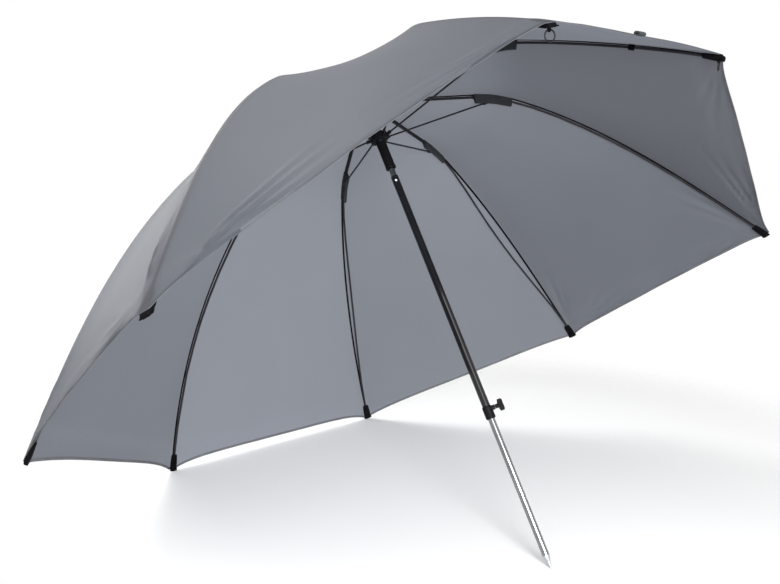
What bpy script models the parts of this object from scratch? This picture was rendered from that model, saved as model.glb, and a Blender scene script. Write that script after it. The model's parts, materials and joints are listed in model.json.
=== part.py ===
"""Fishing umbrella with kneed ribs, leaning on its spike and its two rear rib tips.

Metres, +Z up. The world origin is the point of the spike on the ground, -Y is the open front.
The umbrella is modelled upright in its own frame, with the crown at the origin and the pole
running down -Z, and one empty leans that frame until both rear tips touch the ground.
"""
import math
from collections import namedtuple

import bmesh
import bpy
import numpy as np
from mathutils import Matrix, Vector

# Canopy and rib line, measured along the seam from the crown
REAR_RIB_LENGTH = 1.593
SIDE_RIB_LENGTH = 1.595
FORE_RIB_LENGTH = 1.620
FRONT_RIB_LENGTH = 1.151
KNEE_DISTANCE = 0.474
KNEE_SPREAD = 0.240
CANOPY_THICKNESS = 0.0010
CANOPY_HOLE_RADIUS = 0.0065
SEAM_HALF_WIDTH = 0.0155
CROWN_SLOPE = math.radians(10.3)
KNEE_SLOPE = math.radians(6.3)

# Panels: how far each dips between its ribs, and how its hem dips or bulges and is cut back
PANEL_SAG = 0.020
LOOSE_PANEL_SAG = 0.028
BACK_HEM_DROP = -0.005
BACK_HEM_CUT = 0.021
REAR_HEM_DROP = 0.025
REAR_HEM_CUT = 0.019
SIDE_HEM_DROP = -0.0095
SIDE_HEM_CUT = 0.009
FORE_HEM_DROP = -0.012
FORE_HEM_CUT = 0.020
FRONT_HEM_DROP = -0.0075
FRONT_HEM_CUT = 0.0

# Poles, along the umbrella's own axis
POLE_LENGTH = 1.588
UPPER_POLE_TOP = 0.300
UPPER_POLE_END = 1.122
UPPER_POLE_RADIUS = 0.01225
UPPER_POLE_WALL = 0.00125
LOWER_POLE_LENGTH = 0.800
LOWER_POLE_RADIUS = 0.0105
LOWER_POLE_WALL = 0.0010
NECK_RADIUS = 0.0098
NECK_WALL = 0.0015
NECK_PLUG_LENGTH = 0.060

# Spike
SPIKE_CONE_LENGTH = 0.036
SPIKE_PLUG_LENGTH = 0.025
SPIKE_TIP_RADIUS = 0.0015
SPIKE_SHOULDER = 0.004

# Crown
HUB_RADIUS = 0.038
HUB_HEIGHT = 0.026
HUB_PIN_RADIUS_PLACE = 0.032
HUB_PIN_DROP = 0.0125
HUB_SLOT_ROOT = 0.024
CAP_RADIUS = 0.028
CAP_HEIGHT = 0.011
CAP_STEM_RADIUS = 0.0050
CAP_STEM_LENGTH = 0.024
CAP_KNOB_RADIUS = 0.007
CAP_KNOB_HEIGHT = 0.010

# Runner
RUNNER_PIN_DROP = 0.153
RUNNER_PIN_RADIUS_PLACE = 0.024
RUNNER_FLANGE_RADIUS = 0.031
RUNNER_FLANGE_ABOVE_PIN = 0.012
RUNNER_FLANGE_BELOW_PIN = 0.013
RUNNER_SLEEVE_RADIUS = 0.0163
RUNNER_SLEEVE_END = 0.270
RUNNER_LIP = 0.006

# Ribs, stretchers and the knee between them
RIB_RADIUS = 0.0045
STRETCHER_RADIUS = 0.0030
ROD_RADIUS = 0.0040
TONGUE_THICKNESS = 0.0044
TONGUE_RADIUS = 0.0055
TONGUE_LENGTH = 0.0170
PIN_RADIUS = 0.0015
HUB_PIN_REACH = 0.0040
RUNNER_PIN_REACH = 0.0020
KNEE_HALF_WIDTH = 0.0060
KNEE_START = 0.404
KNEE_END = 0.550
KNEE_DEPTH = 0.0320
KNEE_END_DEPTH = 0.0300
KNEE_PIVOT_DISTANCE = 0.414
KNEE_PIVOT_INSET = 0.0100
STRETCHER_PIVOT_DISTANCE = 0.457
STRETCHER_PIVOT_INSET = 0.0235
ROD_KNEE_INSET = 0.0105
REAR_ROD_DROP = 0.011
REAR_ROD_DRIFT = -0.012
SIDE_ROD_DROP = 0.011
SIDE_ROD_DRIFT = 0.030
FORE_ROD_DROP = 0.0015
FORE_ROD_DRIFT = 0.0
FRONT_ROD_DROP = 0.0
FRONT_ROD_DRIFT = 0.0
ROD_SOCKET_DEPTH = 0.045
RIVET_HEAD_RADIUS = 0.0036
RIVET_HEAD_HEIGHT = 0.0014

# Tip pockets and storm rings
POCKET_LENGTH = 0.060
POCKET_OVERHANG = 0.006
POCKET_BORE_DEPTH = 0.046
POCKET_HALF_WIDTH = 0.0140
POCKET_HALF_THICKNESS = 0.0058
POCKET_NOSE_HALF_WIDTH = 0.0100
POCKET_NOSE_HALF_THICKNESS = 0.0042
RING_RADIUS = 0.0125
RING_WIRE_RADIUS = 0.0018
RING_LUG_RADIUS = 0.0050
RING_LUG_THICKNESS = 0.0040
RING_LUG_SETBACK = 0.0130
RING_LUG_DROP = 0.0052

# Clamp at the lower end of the upper pole
COLLAR_TOP = 1.094
COLLAR_LENGTH = 0.040
COLLAR_RADIUS = 0.0150
COLLAR_SHOULDER = 0.003
BOSS_RADIUS = 0.0075
BOSS_REACH = 0.0235
STEM_RADIUS = 0.0030
KNOB_HUB_RADIUS = 0.0065
KNOB_HUB_START = 0.0245
KNOB_WING_START = 0.0330
KNOB_REACH = 0.0500
KNOB_HALF_LENGTH = 0.0180
KNOB_HALF_THICKNESS = 0.0045
CLAMP_AZIMUTH = math.radians(-45)

# Snap button that locks the neck in the upper pole
BUTTON_DROP = 0.318
BUTTON_RADIUS = 0.0038
BUTTON_REACH = 0.0145
BUTTON_INNER_END = 0.0072
BUTTON_AZIMUTH = math.radians(225)
SPRING_THICKNESS = 0.0006
SPRING_HALF_WIDTH = 0.0030
SPRING_HALF_LENGTH = 0.0200
SPRING_DEPTH = 0.0065

# Fits
GAP = 0.0003
OVERRUN = 0.002

# Facets
ROUND_SIDES = 24
ROD_SIDES = 8
SMALL_SIDES = 10
RING_SEGMENTS = 20
LINE_STEPS = 400
PANEL_COLUMNS = 5

HALF = 0.5
HUB_CORNER_DROP_SHARE = 0.02
PANEL_ROW_SHARES = (0.0, 0.10, 0.20, 0.25, 0.30, 0.36, 0.44, 0.55, 0.67, 0.79, 0.90, 1.0)
KNEE_ROW_SHARE = 0.30
KNEE_STATION_SHARES = (0.0, 0.2, 0.4, 0.6, 0.8, 1.0)
BISECTION_STEPS = 60
SAG_PEAK_POWER = 0.8
HEM_DROP_POWER = 3
ROD_STATION_SHARES = (0.0, 0.1, 0.2, 0.3, 0.4, 0.5, 0.6, 0.7, 0.8, 0.9, 1.0)
POCKET_STATION_SHARES = (0.0, 0.12, 0.55, 0.88, 1.0)
POCKET_WIDTH_SHARES = (0.0, 0.55, 1.0, 0.75, 0.0)

# Angle from the back, length, turn at the knee, turn over the rod and how early that turn comes
RibPair = namedtuple("RibPair", "name angle length knee_turn rod_turn bend_power rod_drop rod_drift")
PAIRS = (
    RibPair("rear", math.radians(22.6), REAR_RIB_LENGTH, math.radians(21.2), math.radians(36.9), 1.0,
            REAR_ROD_DROP, REAR_ROD_DRIFT),
    RibPair("side", math.radians(69.0), SIDE_RIB_LENGTH, math.radians(18.2), math.radians(32.0), 1.75,
            SIDE_ROD_DROP, SIDE_ROD_DRIFT),
    RibPair("fore", math.radians(111.9), FORE_RIB_LENGTH, math.radians(18.7), math.radians(26.3), 2.0,
            FORE_ROD_DROP, FORE_ROD_DRIFT),
    RibPair("front", math.radians(157.6), FRONT_RIB_LENGTH, math.radians(26.8), math.radians(10.7), 0.65,
            FRONT_ROD_DROP, FRONT_ROD_DRIFT),
)

# Shape of the panel between two pairs; a high power keeps its hem's cut even almost to the ribs
Panel = namedtuple("Panel", "sag hem_drop hem_cut cut_power")
PANELS = {
    ("rear", "rear"): Panel(PANEL_SAG, BACK_HEM_DROP, BACK_HEM_CUT, 7),
    ("rear", "side"): Panel(PANEL_SAG, REAR_HEM_DROP, REAR_HEM_CUT, 4),
    ("fore", "side"): Panel(PANEL_SAG, SIDE_HEM_DROP, SIDE_HEM_CUT, 14),
    ("fore", "front"): Panel(LOOSE_PANEL_SAG, FORE_HEM_DROP, FORE_HEM_CUT, 13),
    ("front", "front"): Panel(PANEL_SAG, FRONT_HEM_DROP, FRONT_HEM_CUT, 4),
}
BACK = math.radians(90)


def smoothstep(value):
    value = np.clip(value, 0, 1)
    return value * value * (3 - 2 * value)


def panel_distance(pair, share):
    """Distance along a seam: alike on every rib as far as the knee, then stretched to its tip."""
    if share <= KNEE_ROW_SHARE:
        return CANOPY_HOLE_RADIUS + (KNEE_DISTANCE - CANOPY_HOLE_RADIUS) * share / KNEE_ROW_SHARE
    return KNEE_DISTANCE + (pair.length - KNEE_DISTANCE) * (share - KNEE_ROW_SHARE) / (1 - KNEE_ROW_SHARE)


def seam_table(pair):
    """Seam over one rib as a polygon: distance, radius, height and slope at each canopy row."""
    distance = np.linspace(0, pair.length, LINE_STEPS)
    upper = np.minimum(distance, KNEE_DISTANCE) / KNEE_DISTANCE
    lower = np.maximum(distance - KNEE_DISTANCE, 0) / (pair.length - KNEE_DISTANCE)
    knee = smoothstep((distance - KNEE_DISTANCE) / KNEE_SPREAD + HALF)
    rod = 1 - (1 - lower) ** pair.bend_power
    slope = CROWN_SLOPE + (KNEE_SLOPE - CROWN_SLOPE) * upper + pair.knee_turn * knee + pair.rod_turn * rod
    step = distance[1] - distance[0]
    middle = (slope[1:] + slope[:-1]) * HALF
    radius = np.concatenate([[0], np.cumsum(np.cos(middle) * step)])
    height = np.concatenate([[0], np.cumsum(-np.sin(middle) * step)])
    rows = [0.0] + [panel_distance(pair, share) for share in PANEL_ROW_SHARES]
    return rows, *(np.interp(rows, distance, values) for values in (radius, height, slope))


SEAMS = {pair.name: seam_table(pair) for pair in PAIRS}


def seam_at(pair, distance, inset=0.0):
    """Point of the rib's plane that lies inset below the seam, and the slope there."""
    distances, radius, height, slope = SEAMS[pair.name]
    lean = float(np.interp(distance, distances, slope))
    x = float(np.interp(distance, distances, radius)) - inset * math.sin(lean)
    z = float(np.interp(distance, distances, height)) - inset * math.cos(lean)
    return Vector((x, 0, z)), lean


def crown_height(radius):
    """Height of the canopy's middle surface near the crown, where all ribs are alike."""
    _, radii, heights, _ = SEAMS[PAIRS[0].name]
    return float(np.interp(radius, radii, heights))


def below(slope):
    """Unit vector square to the rib, pointing under the canopy."""
    return Vector((-math.sin(slope), 0, -math.cos(slope)))


# Places that several pieces share
CANOPY_CLEAR = CANOPY_THICKNESS * HALF + GAP
TIP_INSET = CANOPY_CLEAR + POCKET_HALF_THICKNESS
HUB_TOP = crown_height(HUB_RADIUS) - CANOPY_CLEAR * 2 - HUB_RADIUS * HUB_CORNER_DROP_SHARE
HUB_PIN_HEIGHT = HUB_TOP - HUB_PIN_DROP
RIB_PIVOT = Vector((HUB_PIN_RADIUS_PLACE, 0, HUB_PIN_HEIGHT))
KNEE_PIVOT = seam_at(PAIRS[0], KNEE_PIVOT_DISTANCE, KNEE_PIVOT_INSET)[0]
STRETCHER_PIVOT = seam_at(PAIRS[0], STRETCHER_PIVOT_DISTANCE, STRETCHER_PIVOT_INSET)[0]
STRETCHER_PLANE = KNEE_HALF_WIDTH + GAP + STRETCHER_RADIUS
RUNNER_PIVOT = Vector((RUNNER_PIN_RADIUS_PLACE, STRETCHER_PLANE, -RUNNER_PIN_DROP))
RUNNER_BORE = UPPER_POLE_RADIUS + GAP
SLOT_HALF_WIDTH = TONGUE_THICKNESS * HALF + GAP
LOWER_POLE_BOTTOM = POLE_LENGTH - SPIKE_CONE_LENGTH - SPIKE_SHOULDER
STEM_INNER_END = LOWER_POLE_RADIUS + GAP


def clear_scene():
    for item in list(bpy.data.objects):
        bpy.data.objects.remove(item, do_unlink=True)


def finish(name, colour, roughness, metallic=0.0):
    material = bpy.data.materials.new(name)
    material.use_nodes = True
    shader = material.node_tree.nodes["Principled BSDF"]
    shader.inputs["Base Color"].default_value = (*colour, 1)
    shader.inputs["Roughness"].default_value = roughness
    shader.inputs["Metallic"].default_value = metallic
    return material


def link(name, mesh, material=None, smooth_angle=math.radians(35)):
    mesh.name = name
    if material is not None:
        mesh.materials.clear()
        mesh.materials.append(material)
    mesh.shade_smooth()
    mesh.set_sharp_from_angle(angle=smooth_angle)
    item = bpy.data.objects.new(name, mesh)
    bpy.context.scene.collection.objects.link(item)
    return item


def to_mesh(form):
    bmesh.ops.recalc_face_normals(form, faces=form.faces)
    mesh = bpy.data.meshes.new("form")
    form.to_mesh(mesh)
    form.free()
    return mesh


def lathe(profile, sides=ROUND_SIDES):
    """Closed section of (radius, height) points turned about Z. Points on the axis stay single."""
    form = bmesh.new()
    rings = []
    for radius, height in profile:
        if radius == 0:
            rings.append([form.verts.new((0, 0, height))])
            continue
        turn = [2 * math.pi * i / sides for i in range(sides)]
        rings.append([form.verts.new((radius * math.cos(a), radius * math.sin(a), height)) for a in turn])
    on_axis = [len(ring) == 1 for ring in rings]
    for first, second in zip(range(len(rings)), [*range(1, len(rings)), 0]):
        if on_axis[first] and on_axis[second]:
            continue
        for i in range(sides):
            j = (i + 1) % sides
            a, b = rings[first], rings[second]
            corners = [a[i % len(a)], a[j % len(a)], b[j % len(b)], b[i % len(b)]]
            unique = list(dict.fromkeys(corners))
            form.faces.new(unique)
    return to_mesh(form)


def loft(sections):
    """Closed skin through rings of points of equal count, with flat end caps."""
    form = bmesh.new()
    rings = [[form.verts.new(point) for point in section] for section in sections]
    count = len(rings[0])
    for a, b in zip(rings, rings[1:]):
        for i in range(count):
            j = (i + 1) % count
            form.faces.new((a[i], a[j], b[j], b[i]))
    form.faces.new(rings[0])
    form.faces.new(rings[-1])
    return to_mesh(form)


def ring_points(centre, direction, radius, sides):
    """Circle of points round a direction that lies in the rib's plane."""
    side = Vector((0, 1, 0))
    other = direction.cross(side)
    turn = [2 * math.pi * i / sides for i in range(sides)]
    return [centre + (side * math.cos(a) + other * math.sin(a)) * radius for a in turn]


def round_bar(points, radius, sides=ROD_SIDES):
    """Bar of round section along points in the rib's plane."""
    sections = []
    for i, point in enumerate(points):
        ahead = points[min(i + 1, len(points) - 1)] - points[max(i - 1, 0)]
        sections.append(ring_points(point, ahead.normalized(), radius, sides))
    return loft(sections)


def cylinder(start, end, radius, sides=SMALL_SIDES):
    direction = (end - start).normalized()
    turn = direction.to_track_quat("Z", "Y").to_matrix()
    circle = [2 * math.pi * i / sides for i in range(sides)]
    flat = [turn @ Vector((math.cos(a) * radius, math.sin(a) * radius, 0)) for a in circle]
    return loft([[start + p for p in flat], [end + p for p in flat]])


def prism(outline, low, high):
    """Outline of (x, z) points in the rib's plane, extruded along Y from low to high."""
    return loft([[Vector((x, low, z)) for x, z in outline], [Vector((x, high, z)) for x, z in outline]])


def box(low, high):
    outline = [(low[0], low[2]), (high[0], low[2]), (high[0], high[2]), (low[0], high[2])]
    return prism(outline, low[1], high[1])


def moved(mesh, matrix):
    mesh.transform(matrix)
    return mesh


def combine(base, *steps):
    """Base mesh after a row of exact Booleans, each step an operation and a mesh."""
    target = link("combine_base", base)
    tools = []
    for operation, mesh in steps:
        tool = link("combine_tool", mesh)
        tool.hide_render = True
        tool.display_type = "WIRE"
        modifier = target.modifiers.new("cut", "BOOLEAN")
        modifier.operation = operation
        modifier.object = tool
        modifier.solver = "EXACT"
        tools.append(tool)
    bpy.context.view_layer.update()
    graph = bpy.context.evaluated_depsgraph_get()
    result = bpy.data.meshes.new_from_object(target.evaluated_get(graph))
    for item in [target, *tools]:
        bpy.data.objects.remove(item, do_unlink=True)
    return result


def turned(azimuth):
    return Matrix.Rotation(azimuth, 4, "Z")


def place(item, parent, location=(0, 0, 0), azimuth=0.0):
    item.parent = parent
    item.location = location
    item.rotation_euler = (0, 0, azimuth)
    return item


def rib_places():
    """Name, azimuth and pair of each rib, in order round the crown."""
    right = [(f"{pair.name}_right", BACK - pair.angle, pair) for pair in PAIRS]
    left = [(f"{pair.name}_left", BACK + pair.angle, pair) for pair in reversed(PAIRS)]
    return right + left


def seam_point(azimuth, pair, share, side):
    """Point on one edge of the flat band that the canopy has over each rib."""
    distance = panel_distance(pair, share)
    band = SEAM_HALF_WIDTH * float(smoothstep(distance / KNEE_START))
    return turned(azimuth) @ (seam_at(pair, distance)[0] + Vector((0, side * band, 0)))


def panel_dip(panel, share, across):
    """How far the cloth lies below the straight line between its ribs."""
    middle = math.sin(math.pi * share ** SAG_PEAK_POWER) * float(smoothstep(share / KNEE_ROW_SHARE))
    return (panel.sag * middle + panel.hem_drop * share ** HEM_DROP_POWER) * 4 * across * (1 - across)


def cut_share(panel, length, share, across):
    """Row share after the hem's cut, which runs out towards the middle of the panel's height."""
    even = 1 - abs(2 * across - 1) ** panel.cut_power
    return share * (1 - panel.hem_cut / length * even * float(smoothstep(2 * share - 1)))


def canopy_row(share):
    """Closed ring of points right round the canopy at one row, and how far each dips."""
    ribs = rib_places()
    points = []
    for (_, azimuth, pair), (_, next_azimuth, next_pair) in zip(ribs, ribs[1:] + ribs[:1]):
        panel = PANELS[tuple(sorted((pair.name, next_pair.name)))]
        length = (pair.length + next_pair.length) * HALF
        for column in range(PANEL_COLUMNS + 1):
            across = column / PANEL_COLUMNS
            shorter = cut_share(panel, length, share, across)
            start = seam_point(azimuth, pair, shorter, -1)
            end = seam_point(next_azimuth, next_pair, shorter, 1)
            points.append((start.lerp(end, across), panel_dip(panel, share, across)))
    return points


def canopy_form():
    """Thin shell with its true outer shape, its scalloped hem, and a hole for the crown's stem."""
    rows = [canopy_row(share) for share in PANEL_ROW_SHARES]
    form = bmesh.new()
    grid = [[form.verts.new(point) for point, _ in row] for row in rows]
    count = len(grid[0])
    for upper, lower in zip(grid, grid[1:]):
        for i in range(count):
            j = (i + 1) % count
            form.faces.new((upper[j], upper[i], lower[i], lower[j]))
    form.normal_update()
    outward = {vert: vert.normal.copy() for vert in form.verts}
    for row, verts in zip(rows, grid):
        for (_, dip), vert in zip(row, verts):
            vert.co -= outward[vert] * dip
    form.normal_update()
    outward = {vert: vert.normal.copy() for vert in form.verts}
    copy = bmesh.ops.duplicate(form, geom=form.faces[:])
    pairs = copy["vert_map"]
    inner = {vert: pairs[vert] for ring in grid for vert in ring}
    for vert, twin in inner.items():
        twin.co = vert.co - outward[vert] * CANOPY_THICKNESS * HALF
    for vert in inner:
        vert.co += outward[vert] * CANOPY_THICKNESS * HALF
    for ring in (grid[0], grid[-1]):
        for i in range(count):
            j = (i + 1) % count
            form.faces.new((ring[i], ring[j], inner[ring[j]], inner[ring[i]]))
    return to_mesh(form)


def tongue_outline(centre, direction, length):
    """Round-ended bar from a pin out to a length, as (x, z) points."""
    side = Vector((-direction.z, 0, direction.x))
    start = math.atan2(side.z, side.x)
    arc = [start + math.pi * i / SMALL_SIDES for i in range(SMALL_SIDES + 1)]
    points = [centre + Vector((math.cos(a), 0, math.sin(a))) * TONGUE_RADIUS for a in arc]
    points.append(centre + direction * length - side * TONGUE_RADIUS)
    points.append(centre + direction * length + side * TONGUE_RADIUS)
    return [(p.x, p.z) for p in points]


def strut(start, end, radius, pin_reach):
    """Round bar with a flat tongue at each end and the hinge pin pressed through its inner eye."""
    direction = (end - start).normalized()
    half = TONGUE_THICKNESS * HALF
    bar_start = start + direction * (TONGUE_LENGTH - OVERRUN)
    bar_end = end - direction * (TONGUE_LENGTH - OVERRUN)
    steps = []
    for centre, heading in ((start, direction), (end, -direction)):
        steps.append(("UNION", prism(tongue_outline(centre, heading, TONGUE_LENGTH + OVERRUN), -half, half)))
    across = Vector((0, half + pin_reach, 0))
    steps.append(("UNION", cylinder(start - across, start + across, PIN_RADIUS, ROD_SIDES)))
    return combine(round_bar([bar_start, bar_end], radius), *steps)


def rib_form():
    """Upper rib: pinned in the crown hub, with an eye for the knee's pin at its outer end."""
    half = Vector((0, TONGUE_THICKNESS * HALF + OVERRUN, 0))
    eye = cylinder(KNEE_PIVOT - half, KNEE_PIVOT + half, PIN_RADIUS + GAP)
    mesh = combine(strut(RIB_PIVOT, KNEE_PIVOT, RIB_RADIUS, HUB_PIN_REACH), ("DIFFERENCE", eye))
    return moved(mesh, Matrix.Translation(-RIB_PIVOT))


def stretcher_form():
    """Stretcher in its own plane beside the rib, with the rivet head of its knee pivot."""
    flat_pivot = Vector((RUNNER_PIVOT.x, 0, RUNNER_PIVOT.z))
    bar = strut(flat_pivot, STRETCHER_PIVOT, STRETCHER_RADIUS, RUNNER_PIN_REACH)
    half = TONGUE_THICKNESS * HALF
    outer = STRETCHER_PIVOT + Vector((0, half + RIVET_HEAD_HEIGHT, 0))
    inner = STRETCHER_PIVOT - Vector((0, STRETCHER_RADIUS, 0))
    head = cylinder(STRETCHER_PIVOT + Vector((0, half - OVERRUN, 0)), outer, RIVET_HEAD_RADIUS)
    shank = cylinder(inner, outer - Vector((0, RIVET_HEAD_HEIGHT * HALF, 0)), PIN_RADIUS + GAP * 2)
    mesh = combine(bar, ("UNION", head), ("UNION", shank))
    return moved(mesh, Matrix.Translation(-flat_pivot))


def knee_depth(share):
    return KNEE_DEPTH + (KNEE_END_DEPTH - KNEE_DEPTH) * smoothstep(share)


def rod_line(pair, hand=1):
    """Centre line of the lower rod: bowed down and aside of the seam, straight at both ends."""
    start = KNEE_END - ROD_SOCKET_DEPTH * HALF
    end = pair.length + POCKET_OVERHANG - POCKET_LENGTH
    points = []
    for share in ROD_STATION_SHARES:
        inset = ROD_KNEE_INSET + (TIP_INSET - ROD_KNEE_INSET) * share
        bow = 4 * share * (1 - share)
        place_on_rib = seam_at(pair, start + (end - start) * share, inset + pair.rod_drop * bow)[0]
        points.append(place_on_rib + Vector((0, hand * pair.rod_drift * bow * bow, 0)))
    first = (points[0] - points[1]).normalized()
    tip = seam_at(pair, pair.length, TIP_INSET)[0]
    last = (tip - points[-1]).normalized()
    return [points[0] + first * ROD_SOCKET_DEPTH * HALF, *points, points[-1] + last * POCKET_BORE_DEPTH], last


def rod_form(pair, hand):
    points, _ = rod_line(pair, hand)
    return moved(round_bar(points, ROD_RADIUS), Matrix.Translation(-KNEE_PIVOT))


def knee_form(pair, hand):
    """Curved bracket under the seam: forked for the rib, socketed for the rod, with its pivot pin."""
    top, bottom = [], []
    for share in KNEE_STATION_SHARES:
        distance = KNEE_START + (KNEE_END - KNEE_START) * share
        top.append(seam_at(pair, distance, CANOPY_CLEAR)[0])
        bottom.append(seam_at(pair, distance, knee_depth(share))[0])
    outline = [(p.x, p.z) for p in top + bottom[::-1]]
    width = KNEE_HALF_WIDTH
    pivot = KNEE_PIVOT
    reach = TONGUE_RADIUS + GAP * 3
    high = pivot.z + KNEE_DEPTH
    slot_low = (pivot.x - KNEE_DEPTH, -SLOT_HALF_WIDTH, pivot.z - reach)
    slot_high = (pivot.x + reach, SLOT_HALF_WIDTH, high)
    points, _ = rod_line(pair, hand)
    socket_end = points[0] + (points[0] - points[1]).normalized() * GAP
    pin_half = Vector((0, width - GAP, 0))
    mesh = combine(
        prism(outline, -width, width),
        ("DIFFERENCE", box(slot_low, slot_high)),
        ("DIFFERENCE", round_bar([socket_end, *points[1:4]], ROD_RADIUS + GAP, ROUND_SIDES // 2)),
        ("UNION", cylinder(pivot - pin_half, pivot + pin_half, PIN_RADIUS)),
    )
    return moved(mesh, Matrix.Translation(-KNEE_PIVOT))


def pocket_section(centre, direction, half_width, half_thickness):
    """Rounded-off section of the tip pocket, square to the rod."""
    up = -below(math.atan2(-direction.z, direction.x))
    side = Vector((0, 1, 0))
    corner = half_thickness * HALF
    spots = ((1, -1), (1, 1), (-1, 1), (-1, -1))
    points = []
    for across, over in spots:
        wide = side * across * half_width
        tall = up * over * half_thickness
        cut_side = side * across * corner
        cut_tall = up * over * corner
        pair = [centre + wide + tall - cut_tall, centre + wide + tall - cut_side]
        points += pair if across * over > 0 else pair[::-1]
    return points


def pocket_form(pair, with_lug):
    """Reinforced corner pocket that the rod's end sits in, with a ring lug on the front pair."""
    points, direction = rod_line(pair)
    bore_start, bore_end = points[-2], points[-1]
    sections = []
    for share, width_share in zip(POCKET_STATION_SHARES, POCKET_WIDTH_SHARES):
        centre = bore_start + direction * POCKET_LENGTH * share
        wide = POCKET_NOSE_HALF_WIDTH + (POCKET_HALF_WIDTH - POCKET_NOSE_HALF_WIDTH) * width_share
        thick = POCKET_NOSE_HALF_THICKNESS
        thick += (POCKET_HALF_THICKNESS - POCKET_NOSE_HALF_THICKNESS) * width_share
        if share == 0:
            thick = ROD_RADIUS + GAP + OVERRUN * HALF
        sections.append(pocket_section(centre, direction, wide, thick))
    steps = []
    if with_lug:
        lug_start, lug_eye = ring_lug(pair)
        half = Vector((0, RING_LUG_THICKNESS * HALF, 0))
        steps.append(("UNION", cylinder(lug_eye - half, lug_eye + half, RING_LUG_RADIUS, ROUND_SIDES // 2)))
        side = direction * (RING_LUG_RADIUS - OVERRUN * HALF)
        corners = [lug_start - side, lug_eye - side, lug_eye + side, lug_start + side]
        steps.append(("UNION", prism([(p.x, p.z) for p in corners], GAP - half.y, half.y - GAP)))
        bore = half + Vector((0, OVERRUN, 0))
        steps.append(("DIFFERENCE", cylinder(lug_eye - bore, lug_eye + bore, RING_WIRE_RADIUS + GAP * 2)))
    mouth = bore_start - direction * OVERRUN
    steps.append(("DIFFERENCE", cylinder(mouth, bore_end + direction * GAP, ROD_RADIUS + GAP, ROUND_SIDES // 2)))
    return moved(combine(loft(sections), *steps), Matrix.Translation(-KNEE_PIVOT))


def ring_lug(pair):
    """Root of the ring lug under the pocket, and the centre of its eye."""
    points, direction = rod_line(pair)
    root = points[-2] + direction * (POCKET_LENGTH - RING_LUG_SETBACK)
    down = below(math.atan2(-direction.z, direction.x))
    return root, root + down * (POCKET_NOSE_HALF_THICKNESS + RING_LUG_DROP)


def ring_form(hang):
    """Wire ring that passes through the lug's eye and hangs from it; the eye is its origin."""
    form = bmesh.new()
    rings = []
    for i in range(RING_SEGMENTS):
        turn = 2 * math.pi * i / RING_SEGMENTS
        radial = Vector((0, math.sin(turn), 0)) - hang * math.cos(turn)
        centre = hang * RING_RADIUS + radial * RING_RADIUS
        square = Vector((0, 1, 0)).cross(hang)
        wire = [2 * math.pi * k / ROD_SIDES for k in range(ROD_SIDES)]
        spots = [centre + (radial * math.cos(a) + square * math.sin(a)) * RING_WIRE_RADIUS for a in wire]
        rings.append([form.verts.new(p) for p in spots])
    for a, b in zip(rings, rings[1:] + rings[:1]):
        for i in range(ROD_SIDES):
            j = (i + 1) % ROD_SIDES
            form.faces.new((a[i], a[j], b[j], b[i]))
    return to_mesh(form)


def crown_hub_form():
    """Turned hub with a slot and a pin hole for every rib."""
    bottom = HUB_TOP - HUB_HEIGHT
    bore = NECK_RADIUS + GAP
    chamfer = OVERRUN
    profile = [
        (bore, HUB_TOP), (HUB_RADIUS - chamfer, HUB_TOP), (HUB_RADIUS, HUB_TOP - chamfer),
        (HUB_RADIUS, bottom + chamfer), (HUB_RADIUS - chamfer, bottom), (bore, bottom),
    ]
    steps = []
    roof = HUB_PIN_HEIGHT + TONGUE_RADIUS + GAP * 2
    for _, azimuth, _ in rib_places():
        low = (HUB_SLOT_ROOT, -SLOT_HALF_WIDTH, bottom - OVERRUN)
        high = (HUB_RADIUS + OVERRUN, SLOT_HALF_WIDTH, roof)
        steps.append(("DIFFERENCE", moved(box(low, high), turned(azimuth))))
    for start, end in pin_ends(RIB_PIVOT, HUB_PIN_REACH + GAP):
        steps.append(("DIFFERENCE", cylinder(start, end, PIN_RADIUS + GAP)))
    return combine(lathe(profile), *steps)


def pin_ends(pivot, reach):
    """Both ends of the hinge pin of every rib, square to the rib's plane."""
    ends = []
    for _, azimuth, _ in rib_places():
        turn = turned(azimuth)
        half = Vector((0, TONGUE_THICKNESS * HALF + reach, 0))
        ends.append((turn @ (pivot - half), turn @ (pivot + half)))
    return ends


def crown_cap_form():
    """Domed cap over the canopy's centre, with the stem that plugs into the neck."""
    lift = CANOPY_CLEAR / math.cos(CROWN_SLOPE) + GAP
    rim = lift + crown_height(CAP_RADIUS)
    root = lift + crown_height(CAP_STEM_RADIUS)
    lip = CAP_HEIGHT * HALF * HALF
    profile = [
        (0, -CAP_STEM_LENGTH), (CAP_STEM_RADIUS, -CAP_STEM_LENGTH), (CAP_STEM_RADIUS, root),
        (CAP_RADIUS, rim), (CAP_RADIUS, rim + lip), (CAP_RADIUS - lip, rim + lip * 2),
        (CAP_KNOB_RADIUS * 2, CAP_HEIGHT - lip * HALF), (CAP_KNOB_RADIUS, CAP_HEIGHT),
        (CAP_KNOB_RADIUS, CAP_HEIGHT + CAP_KNOB_HEIGHT * HALF),
        (CAP_KNOB_RADIUS * HALF, CAP_HEIGHT + CAP_KNOB_HEIGHT), (0, CAP_HEIGHT + CAP_KNOB_HEIGHT),
    ]
    return lathe(profile)


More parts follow.
